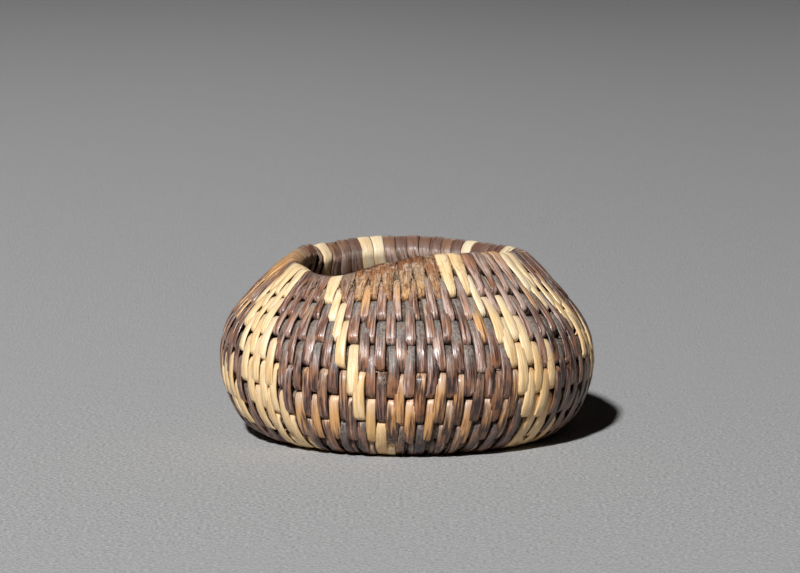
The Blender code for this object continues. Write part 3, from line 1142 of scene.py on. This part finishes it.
@dataclass(frozen=True)
class SplintFinish:
    """Finish of the sewing splints: streaks along the splint, dusty upper ends, dirty lower ends, a painted
    highlight on golden tops and painted shade at the long edges.
    """

    name: str
    deep: Colour
    body: Colour
    pale: Colour
    grey: Colour
    gold: Colour
    edge: Colour
    foot: Colour
    roughness: float
    edge_share: float
    foot_share: float
    rust_share: float
    dust_share: float
    lip_share: float
    # Share of painted shade along the splint's long edges.
    side_share: float
    lip: Colour = (0.11, 0.04, 0.022)
    pale_grey: Colour = (0.4, 0.37, 0.33)
    fibre: Colour = (0.8, 0.6, 0.4)
    bare: Colour = (0.32, 0.13, 0.042)
    # Painted highlight on the very tops of golden stitches.
    top_highlight: Colour = (0.75, 0.55, 0.42)
    amber: Colour = (0.74, 0.42, 0.15)
    tan: Colour = (0.56, 0.43, 0.3)
    soot: Colour = (0.2, 0.155, 0.12)

    def build(self) -> bpy.types.Material:
        """Builds the nodes."""
        return SplintPaint(self).build()


class SplintPaint(Sketch):
    """Paints a splint, layer by layer, each over the colour so far.

    Each step says over which span of a number its layer comes in. A leg is 0 at a stitch's lower end
    outside, 1 at its top and 2 at its lower end inside.
    """

    seed_shift = 91.0
    grains = {
        "streak": Grain(1.5, 0.36, Noise(1.5, 3.0, 0.6)),
        "hair": Grain(2.4, 0.4, Noise(2.0, 2.0, 0.6)),
        "patch": Grain(0.5, 0.9, Noise(1.0, 2.0)),
        "fuzz": Grain(2.6, 0.8, Noise(1.6, 3.0, 0.7), 0.8),
    }
    clouds = {
        "dust": Noise(3800.0, 3.0, 0.7),
        "cloud": Noise(170.0, 2.0),
        "blot": Noise(900.0, 3.0, 0.65),
        "speck": Noise(2400.0, 2.0, 0.6),
    }
    tone_weights = (0.8, 0.45, 0.07)
    body_tone = Step(0.52, 0.66)
    pale_tone = Step(0.67, 0.82)
    rust_patch = Step(0.72, 0.9, ragged=0.5)
    golden_top = 0.6
    golden_streak = 0.8
    golden_reach = Step(0.92, 1.22)
    golden_tone = Step(0.44, 0.64)
    golden_share = 0.88
    top_highlight_leg = Step(0.7, 0.9, ragged=0.3)
    top_highlight_hair = Step(0.4, 0.6, 0.35, 0.8)
    top_highlight_rim = Step(0.0, 1.0, 1.0, 0.25)
    side_glow = Step(0.98, 1.35, ragged=0.5)
    side_luck = Step(0.45, 0.75, 0.25, 1.0)
    # Painted shade at the splint's long edges, where neighbouring stitches meet.
    side_shade_step = Step(0.95, 1.15, ragged=0.3)
    film_leg = Step(0.66, 0.98, ragged=0.5)
    film_inside = Step(1.15, 1.5, 1.0, 0.3)
    film_dust = Step(0.34, 0.52, 0.35, 1.0)
    film_cloud = Step(0.3, 0.55, 0.6, 1.0)
    grit_weights = (0.7, 0.3)
    grit_tone = Step(0.34, 0.78)
    foot_leg = Step(0.1, 0.34, 1.0, 0.0, 0.2)
    dirt_share = 0.9
    lip_inside = Step(1.2, 1.36, 1.0, 0.0, 0.16)
    lip_leg = Step(0.8, 0.95)
    lip_gold = Step(0.4, 0.75, 1.0, 0.1)
    rub_weights = (0.5, 0.8)
    rub_leg = Step(0.45, 0.95, 0.04, -0.17)
    rub_bare = Step(0.52, 0.66)
    rub_fibre = Step(0.72, 0.86)
    wrap_leg = Step(0.55, 0.85, 1.0, 0.0, 0.4)
    wrap_middle_leg = Step(0.0, 0.4, 0.6, 0.0)
    wrap_middle = Step(0.6, 1.0, 1.0, 0.05)
    wrap_fuzz = Step(0.38, 0.58, 0.1, 0.95)
    wrap_luck = Step(0.0, 1.0, 0.4, 1.0)
    wrap_start = Step(0.03, 0.16)
    wrap_tone = Step(0.5, 0.75, ragged=0.4)
    ash_weights = (0.7, 0.3)
    ash_blot = Step(0.5, 0.6)
    ash_start = Step(0.2, 0.4)
    ash_top = Step(0.8, 0.95, 0.8, 0.15)
    ash_tone = Step(0.4, 0.62)
    burnt_weights = (0.6, 0.4)
    burnt_blot = Step(0.36, 0.48, 0.8, 0.0)
    bare_side_shade = 0.65
    rubbed_cloud = 0.4
    rubbed_worn = Step(0.68, 1.0, ragged=0.3)
    dull_worn = 0.5
    dull_share = 0.4
    gloss_hair = (0.3, 0.7)
    gloss_change = (0.12, -0.08)
    relief_weights = (0.55, 0.45, 1.2)
    wood_relief = (0.8, 0.14 * MM)
    dust_relief = (0.28, 0.03 * MM)
    specular = 0.7

    def __init__(self, look: SplintFinish) -> None:
        """Starts the material and makes the numbers and noises that its layers share.

        Args:
            look: the finish.
        """
        super().__init__(look.name)
        self.look = look
        names = ("across", "along", "leg", "seed", "rim", "gold", "worn")
        self.across, self.along, self.leg, self.seed, self.rim, self.gold, self.worn = map(self.value, names)
        self.shift = self.times(self.seed, self.seed_shift)
        self.streak, self.hair, self.patch, self.fuzz = map(self.follow, self.grains.values())
        self.dust, self.cloud, self.blot, self.speck = map(self.noise, self.clouds.values())
        # The per-stitch shade number shifts the tone; it also holds painted shade on the right side and a
        # painted highlight inside the back rim.
        self.tone = self.weigh((self.streak, self.hair, self.value("shade")), self.tone_weights)
        self.off_middle = self.calc("ABSOLUTE", self.across)
        # Painted shade along each splint's long edges.
        self.side_shade = self.step(self.off_middle, self.side_shade_step, self.hair)
        self.colour: Feed = look.deep

    def follow(self, grain: Grain) -> Socket:
        """Noise that follows the splint, another in each stitch.

        Args:
            grain: the noise and its directions.

        Returns:
            The noise, from 0 to 1.
        """
        along = self.weigh((self.along, self.across), (grain.along, grain.slant))
        at = self.node("CombineXYZ", {0: self.times(self.across, grain.across), 1: along, 2: self.shift})
        return self.noise(grain.noise, at.outputs[0])

    def paint(self, share: Feed, colour: Feed) -> None:
        """Lays a colour over the colour so far, by its share."""
        self.colour = self.mix(share, self.colour, colour)

    def build(self) -> bpy.types.Material:
        """Lays all the layers and sets the shader.

        Returns:
            The material.
        """
        self.wood()
        self.golden()
        self.sides()
        film = self.film()
        grit_share = self.step(self.weigh((self.dust, self.hair), self.grit_weights), self.grit_tone)
        grit = self.mix(grit_share, self.look.grey, self.look.pale_grey)
        self.paint(self.times(film, self.look.dust_share), grit)
        self.ends()
        worn = self.add(self.worn, self.times(self.cloud, self.rubbed_cloud))
        self.paint(self.step(worn, self.rubbed_worn, self.hair), self.worn_through())
        gloss = Step(*self.gloss_hair, *(self.look.roughness + change for change in self.gloss_change))
        dull = self.times(self.add(film, self.times(self.worn, self.dull_worn)), self.dull_share)
        rough = self.add(self.step(self.hair, gloss), dull, clamp=True)
        relief = self.weigh((self.streak, self.hair, self.times(self.fuzz, self.worn)), self.relief_weights)
        normal = self.bump(self.dust, *self.dust_relief, self.bump(relief, *self.wood_relief))
        return self.finish(self.colour, rough, normal, self.specular)

    def wood(self) -> None:
        """Streaked and rusty wood under everything else."""
        self.paint(self.step(self.tone, self.body_tone), self.look.body)
        self.paint(self.step(self.tone, self.pale_tone), self.look.pale)
        rust = self.step(self.patch, self.rust_patch, self.hair)
        self.paint(self.times(rust, self.look.rust_share), self.look.edge)

    def golden(self) -> None:
        """Golden stitches, where the dye took badly, with a painted highlight on their tops."""
        top = self.calc("MINIMUM", self.leg, self.calc("SUBTRACT", 2.0, self.leg))
        streaks = self.times(self.add(self.streak, -0.5), self.golden_streak)
        golden = self.add(self.times(top, self.golden_top), self.gold, streaks)
        golden = self.step(golden, self.golden_reach)
        amber = self.mix(self.step(self.tone, self.golden_tone), self.look.edge, self.look.gold)
        self.paint(self.times(golden, self.golden_share), amber)
        # Painted highlight: pale on the very tops of golden stitches, weaker on the rim's wraps.
        top_highlight = self.times(self.step(self.leg, self.top_highlight_leg, self.patch), golden)
        hair, rim = self.step(self.hair, self.top_highlight_hair), self.step(self.rim, self.top_highlight_rim)
        self.paint(self.times(top_highlight, hair, rim), self.look.top_highlight)

    def sides(self) -> None:
        """Long sides of the splint: glowing in some stitches, then painted shade at the very edge, where it
        meets the next stitch.
        """
        side = self.step(self.off_middle, self.side_glow, self.hair)
        glow = self.times(self.step(self.seed, self.side_luck), self.look.edge_share)
        self.paint(self.times(side, glow), self.look.edge)
        self.paint(self.times(self.side_shade, self.look.side_share), self.look.deep)

    def film(self) -> Socket:
        """How thick dust lies, which is most on the tops.

        Returns:
            Share from 0 to 1.
        """
        film = self.step(self.leg, self.film_leg, self.patch)
        film = self.times(film, self.step(self.leg, self.film_inside))
        film = self.times(film, self.step(self.dust, self.film_dust), self.step(self.cloud, self.film_cloud))
        return self.times(film, self.value("dust"), clamp=True)

    def ends(self) -> None:
        """Dirty lower ends and grooves, and the dark outer lip of the rim's wraps."""
        foot = self.step(self.leg, self.foot_leg, self.patch)
        self.paint(self.times(foot, self.look.foot_share), self.look.foot)
        self.paint(self.times(self.value("dirt"), self.dirt_share, clamp=True), self.look.foot)
        lip = self.times(self.rim, self.step(self.leg, self.lip_inside, self.patch))
        lip = self.times(lip, self.step(self.leg, self.lip_leg), self.step(self.gold, self.lip_gold))
        self.paint(self.times(lip, self.look.lip_share), self.look.lip)

    def worn_through(self) -> Socket:
        """Worn shoulder: rubbed fibre, pale feet of the rim's wraps, ash and burnt blots.

        Returns:
            The colour.
        """
        look, leg = self.look, self.leg
        rub = self.weigh((self.hair, self.fuzz), self.rub_weights)
        rub = self.add(rub, self.step(leg, self.rub_leg))
        bare = self.mix(self.step(rub, self.rub_bare), look.lip, look.bare)
        bare = self.mix(self.step(rub, self.rub_fibre), bare, look.fibre)
        off_middle = self.add(self.off_middle, self.step(leg, self.wrap_middle_leg))
        wrap = self.times(self.rim, self.step(leg, self.wrap_leg, self.patch))
        wrap = self.times(wrap, self.step(off_middle, self.wrap_middle), self.step(self.fuzz, self.wrap_fuzz))
        wrap = self.times(wrap, self.step(self.seed, self.wrap_luck), self.step(leg, self.wrap_start))
        wrap_colour = self.mix(self.step(leg, self.wrap_tone, self.fuzz), look.amber, look.tan)
        bare = self.mix(wrap, bare, wrap_colour)
        ash = self.step(self.weigh((self.blot, self.speck), self.ash_weights), self.ash_blot)
        ash = self.times(ash, self.step(leg, self.ash_start), self.step(leg, self.ash_top))
        bare = self.mix(ash, bare, self.mix(self.step(self.speck, self.ash_tone), look.soot, look.tan))
        burnt = self.step(self.weigh((self.blot, self.hair), self.burnt_weights), self.burnt_blot)
        bare = self.mix(burnt, bare, look.lip)
        # Painted shade at the long edges of the worn splints too.
        return self.mix(self.times(self.side_shade, self.bare_side_shade), bare, look.deep)


@dataclass(frozen=True)
class RodFinish:
    """Finish of the peeled rods: dull wood in the holes, and bare pale bast where the shoulder is worn."""

    name: str = "peeled_rod_look"
    deep: Colour = (0.08, 0.055, 0.04)
    body: Colour = (0.26, 0.19, 0.14)
    bast: Colour = (0.62, 0.47, 0.33)
    brown: Colour = (0.26, 0.13, 0.06)
    grain: Noise = Noise(2.0)
    grain_across: float = 2.0
    dirt: Noise = Noise(900.0, 3.0, 0.7)
    fibre: Noise = Noise(2200.0, 2.0, 0.6)
    body_grain: Step = Step(0.35, 0.7)
    dirty: Step = Step(0.4, 0.7, 0.0, 0.6)
    brown_bast: Step = Step(0.7, 0.95, ragged=0.6)
    roughness: float = 0.75
    relief: tuple[float, float] = (0.6, 0.06 * MM)
    specular: float = 0.3

    def build(self) -> bpy.types.Material:
        """Builds the nodes.

        Returns:
            The material.
        """
        sketch = Sketch(self.name)
        across = sketch.times(sketch.value("across"), self.grain_across)
        grain_at = sketch.node("CombineXYZ", {0: across, 1: sketch.value("along")})
        grain = sketch.noise(self.grain, grain_at.outputs[0])
        dirt, fibre = sketch.noise(self.dirt), sketch.noise(self.fibre)
        colour = sketch.mix(sketch.step(grain, self.body_grain), self.deep, self.body)
        colour = sketch.mix(sketch.step(dirt, self.dirty), colour, self.deep)
        bare = sketch.mix(sketch.step(dirt, self.brown_bast, fibre), self.bast, self.brown)
        colour = sketch.mix(sketch.value("worn"), colour, bare)
        normal = sketch.bump(sketch.add(grain, fibre), *self.relief)
        return sketch.finish(colour, self.roughness, normal, self.specular)


@dataclass(frozen=True)
class FrayFinish:
    """Finish of the loose fibres: pale straw to orange brown."""

    name: str = "fray_look"
    pale: Colour = (0.72, 0.56, 0.38)
    brown: Colour = (0.3, 0.14, 0.06)
    fleck: Noise = Noise(1500.0, 2.0)
    weights: tuple[float, float] = (0.8, 0.4)
    browner: Step = Step(0.25, 0.9)
    dull: Step = Step(0.3, 0.7, 0.55, 0.75)
    relief: tuple[float, float] = (0.3, 0.02 * MM)
    specular: float = 0.3

    def build(self) -> bpy.types.Material:
        """Builds the nodes.

        Returns:
            The material.
        """
        sketch = Sketch(self.name)
        fleck = sketch.noise(self.fleck)
        share = sketch.weigh((sketch.value("seed"), fleck), self.weights)
        colour = sketch.mix(sketch.step(share, self.browner), self.pale, self.brown)
        normal = sketch.bump(fleck, *self.relief)
        return sketch.finish(colour, sketch.step(fleck, self.dull), normal, self.specular)


DARK_LOOK = SplintFinish(
    name="dark_splint_look",
    deep=(0.035, 0.017, 0.014),
    body=(0.2, 0.1, 0.073),
    pale=(0.58, 0.42, 0.35),
    grey=(0.1, 0.095, 0.085),
    gold=(0.8, 0.43, 0.16),
    edge=(0.42, 0.165, 0.055),
    foot=(0.08, 0.06, 0.05),
    roughness=0.3,
    edge_share=0.5,
    foot_share=0.7,
    rust_share=0.5,
    dust_share=0.9,
    lip_share=0.8,
    side_share=0.75,
)
LIGHT_LOOK = SplintFinish(
    name="light_splint_look",
    deep=(0.74, 0.46, 0.2),
    body=(0.92, 0.67, 0.36),
    pale=(0.95, 0.8, 0.55),
    grey=(0.78, 0.62, 0.42),
    gold=(0.76, 0.46, 0.16),
    edge=(0.64, 0.36, 0.14),
    foot=(0.3, 0.17, 0.08),
    roughness=0.38,
    edge_share=0.35,
    foot_share=0.45,
    rust_share=0.2,
    dust_share=0.5,
    lip_share=0.12,
    side_share=0.45,
)


# Stage


@dataclass
class Stage:
    """Grey felted floor that runs out of sight, a key light from the front left, and a weak fill.

    The felt's fibres are dim and pale greys, each given at the left and at the right; both are lighter at the
    left, a painted fall-off of the key light. They show most in a band across the floor.
    """

    floor_half: float = 6.0
    # Left and right greys: lighter at the left, a painted fall-off of the key light.
    dim: Span = (0.31, 0.27)
    pale: Span = (0.57, 0.5)
    side: Step = Step(-0.08, 0.1)
    band_front: Step = Step(-0.1, -0.04)
    band_back: Step = Step(-0.02, 0.06, 0.8, 0.15)
    band_least: float = 0.15
    fibre: Noise = Noise(2600.0, 3.0, 0.7)
    fibre_tone: Step = Step(0.3, 0.7)
    lump: Noise = Noise(400.0, 2.0)
    lump_share: float = 0.6
    felt_roughness: float = 0.9
    felt_relief: tuple[float, float] = (0.6, 0.3 * MM)
    felt_specular: float = 0.2
    key_distance: float = 3.0
    key_elevation: float = math.radians(40.0)
    key_left: float = math.radians(18.6)
    key_size: float = 0.22
    key_power: float = 122.0
    fill: float = 0.008

    def build(self) -> None:
        """Builds the floor, the light and the world."""
        half = self.floor_half
        corners = np.array([(-half, -half, 0), (half, -half, 0), (half, half, 0), (-half, half, 0)], float)
        floor = add_object("floor", corners, np.array([[0, 1, 2, 3]]), smooth=False)
        floor.data.materials.append(self.floor_material())
        light = bpy.data.lights.new("key", "AREA")
        light.shape = "DISK"
        light.size = self.key_size
        light.energy = self.key_power
        flat = math.cos(self.key_elevation)
        side, front = math.sin(self.key_left) * flat, math.cos(self.key_left) * flat
        away = Vector((-side, -front, math.sin(self.key_elevation)))
        add_viewer("key", light, Vector(), away, self.key_distance)
        world = bpy.data.worlds.new("fill")
        world.use_nodes = True
        background = world.node_tree.nodes["Background"]
        background.inputs["Color"].default_value = (1.0, 1.0, 1.0, 1.0)
        background.inputs["Strength"].default_value = self.fill
        bpy.context.scene.world = world

    def floor_material(self) -> bpy.types.Material:
        """Builds the floor's nodes.

        Returns:
            The material.
        """
        sketch = Sketch("felt_look")
        at = sketch.place()
        fibre, lump = sketch.noise(self.fibre, at), sketch.noise(self.lump, at)
        x, y, _ = sketch.node("SeparateXYZ", {0: at}).outputs
        # Painted light fall-off: the floor's greys darken from left to right.
        side = sketch.step(x, self.side)
        dim, pale = (sketch.mix(side, *((grey,) * 3 for grey in greys)) for greys in (self.dim, self.pale))
        band = sketch.times(sketch.step(y, self.band_front), sketch.step(y, self.band_back))
        band = sketch.add(band, self.band_least)
        grain = sketch.calc("SUBTRACT", sketch.step(fibre, self.fibre_tone), 0.5)
        colour = sketch.mix(sketch.add(sketch.times(grain, band), 0.5), dim, pale)
        height = sketch.add(fibre, sketch.times(lump, self.lump_share))
        normal = sketch.bump(height, *self.felt_relief)
        return sketch.finish(colour, self.felt_roughness, normal, self.felt_specular)


def add_viewer(
    name: str, data: bpy.types.ID, target: Vector, away: Vector, distance: float
) -> bpy.types.Object:
    """Puts a lamp or a camera into the scene, turned to a target.

    Args:
        name: name of the object.
        data: the lamp or the camera.
        target: what it looks at.
        away: direction from the target to it.
        distance: distance between them.

    Returns:
        The new object.
    """
    viewer = bpy.data.objects.new(name, data)
    viewer.location = target + away * distance
    viewer.rotation_mode = "QUATERNION"
    viewer.rotation_quaternion = away.to_track_quat("Z", "Y")
    bpy.context.scene.collection.objects.link(viewer)
    return viewer


@dataclass
class ViewPoint:
    """The photograph's camera: low, far off and long, with no lens shift."""

    elevation: float = math.radians(7.48)
    distance: float = 340.0 * MM
    lens: float = 143.4
    sensor: float = 36.0
    clip: Span = (0.01, 50.0)
    target: tuple[float, float, float] = (-0.731 * MM, 0.0, 15.588 * MM)

    def build(self) -> None:
        """Places the camera and sets how the picture is developed."""
        camera = bpy.data.cameras.new("camera")
        camera.lens = self.lens
        camera.sensor_width = self.sensor
        camera.clip_start, camera.clip_end = self.clip
        away = Vector((0.0, -math.cos(self.elevation), math.sin(self.elevation)))
        scene = bpy.context.scene
        scene.camera = add_viewer("camera", camera, Vector(self.target), away, self.distance)
        scene.view_settings.view_transform = "Standard"
        scene.view_settings.look = "None"


# Assembly


@dataclass(frozen=True)
class Column:
    """Light splints of the solids, one above the other: first turn, turns between them, and stitches."""

    start: float
    step: float
    stitches: int


@dataclass
class Basket:
    """The whole basket: rods, start button, stitches stretch by stretch and the fray."""

    wall: Wall
    coil: Coil
    plan: StitchPlan
    base_parts: int = 4
    columns: tuple[Column, ...] = (Column(5.03, 1.0105, 3), Column(5.31, 1.003, 4))
    rounds: int = 9
    least_turns: float = 0.02

    def stretches(self) -> list[tuple[str, float, float]]:
        """Stretches of the coil that the solids' splints cover.

        Returns:
            For each solid: its name and the turns at which it starts and stops.
        """
        turns, counts = self.coil.tables()
        base = self.columns[0].start
        starts = [(base * part / self.base_parts, "dark") for part in range(self.base_parts)]
        for number in range(self.rounds):
            for column in self.columns:
                light = column.start + number * column.step
                dark = float(np.interp(np.interp(light, turns, counts) + column.stitches, counts, turns))
                starts += [(light, "light"), (dark, "dark")]
        stop = self.coil.turns - self.coil.tip_turns
        starts = [start for start in starts if start[0] < stop - self.least_turns]
        found = []
        seen = {"dark": 0, "light": 0}
        for (start, kind), (finish, _) in zip(starts, starts[1:] + [(stop, "")]):
            seen[kind] += 1
            found.append((f"{kind}_splint_{seen[kind]:02d}", start, finish))
        return found + [("coil_tip_binding", stop, math.inf)]

    def build(self) -> None:
        """Builds and dresses every piece."""
        dark = DARK_LOOK.build()
        light = LIGHT_LOOK.build()
        rod_look = RodFinish().build()
        for number, rod in enumerate(Foundation(self.wall, self.coil).build(), 1):
            self.dress(rod, rod_look, Slot.ROD, f"foundation_rod_{number}")
        knot = Knot(self.wall, self.coil).build()
        self.dress(knot, dark, Slot.DARK, "start_knot")
        sewing = Sewing(self.wall, self.coil, self.plan)
        for node, start, stop in self.stretches():
            here = (self.plan.turn >= start) & (self.plan.turn < stop)
            for kind, look, slot, mask in (
                ("dark", dark, Slot.DARK, here & ~self.plan.light),
                ("light", light, Slot.LIGHT, here & self.plan.light),
            ):
                pick = np.flatnonzero(mask)
                if len(pick):
                    piece = sewing.build(f"{node}_{kind}_stitches", pick)
                    self.dress(piece, look, slot, node)
        fray = Fray(self.wall, self.coil).build()
        self.dress(fray, FrayFinish().build(), Slot.LIGHT)

    def dress(self, piece: bpy.types.Object, look: bpy.types.Material, slot: Slot, *nodes: str) -> None:
        """Gives a piece its material and ties it to the frame.

        Args:
            piece: the object.
            look: its material.
            slot: the material slot, not used.
            nodes: solids that it stands for.
        """
        piece.data.materials.append(look)
        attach(piece, "root")
        if nodes:
            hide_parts(*nodes)
        LOG.info("%s: %d faces", piece.name, len(piece.data.polygons))


def main() -> None:
    """Builds the basket, the stage and the camera."""
    logging.basicConfig(level=logging.INFO, format="%(message)s")
    wall = Wall()
    coil = Coil()
    plan = StitchPlan(coil)
    Basket(wall, coil, plan).build()
    Stage().build()
    ViewPoint().build()


if __name__ == "__main__":
    main()
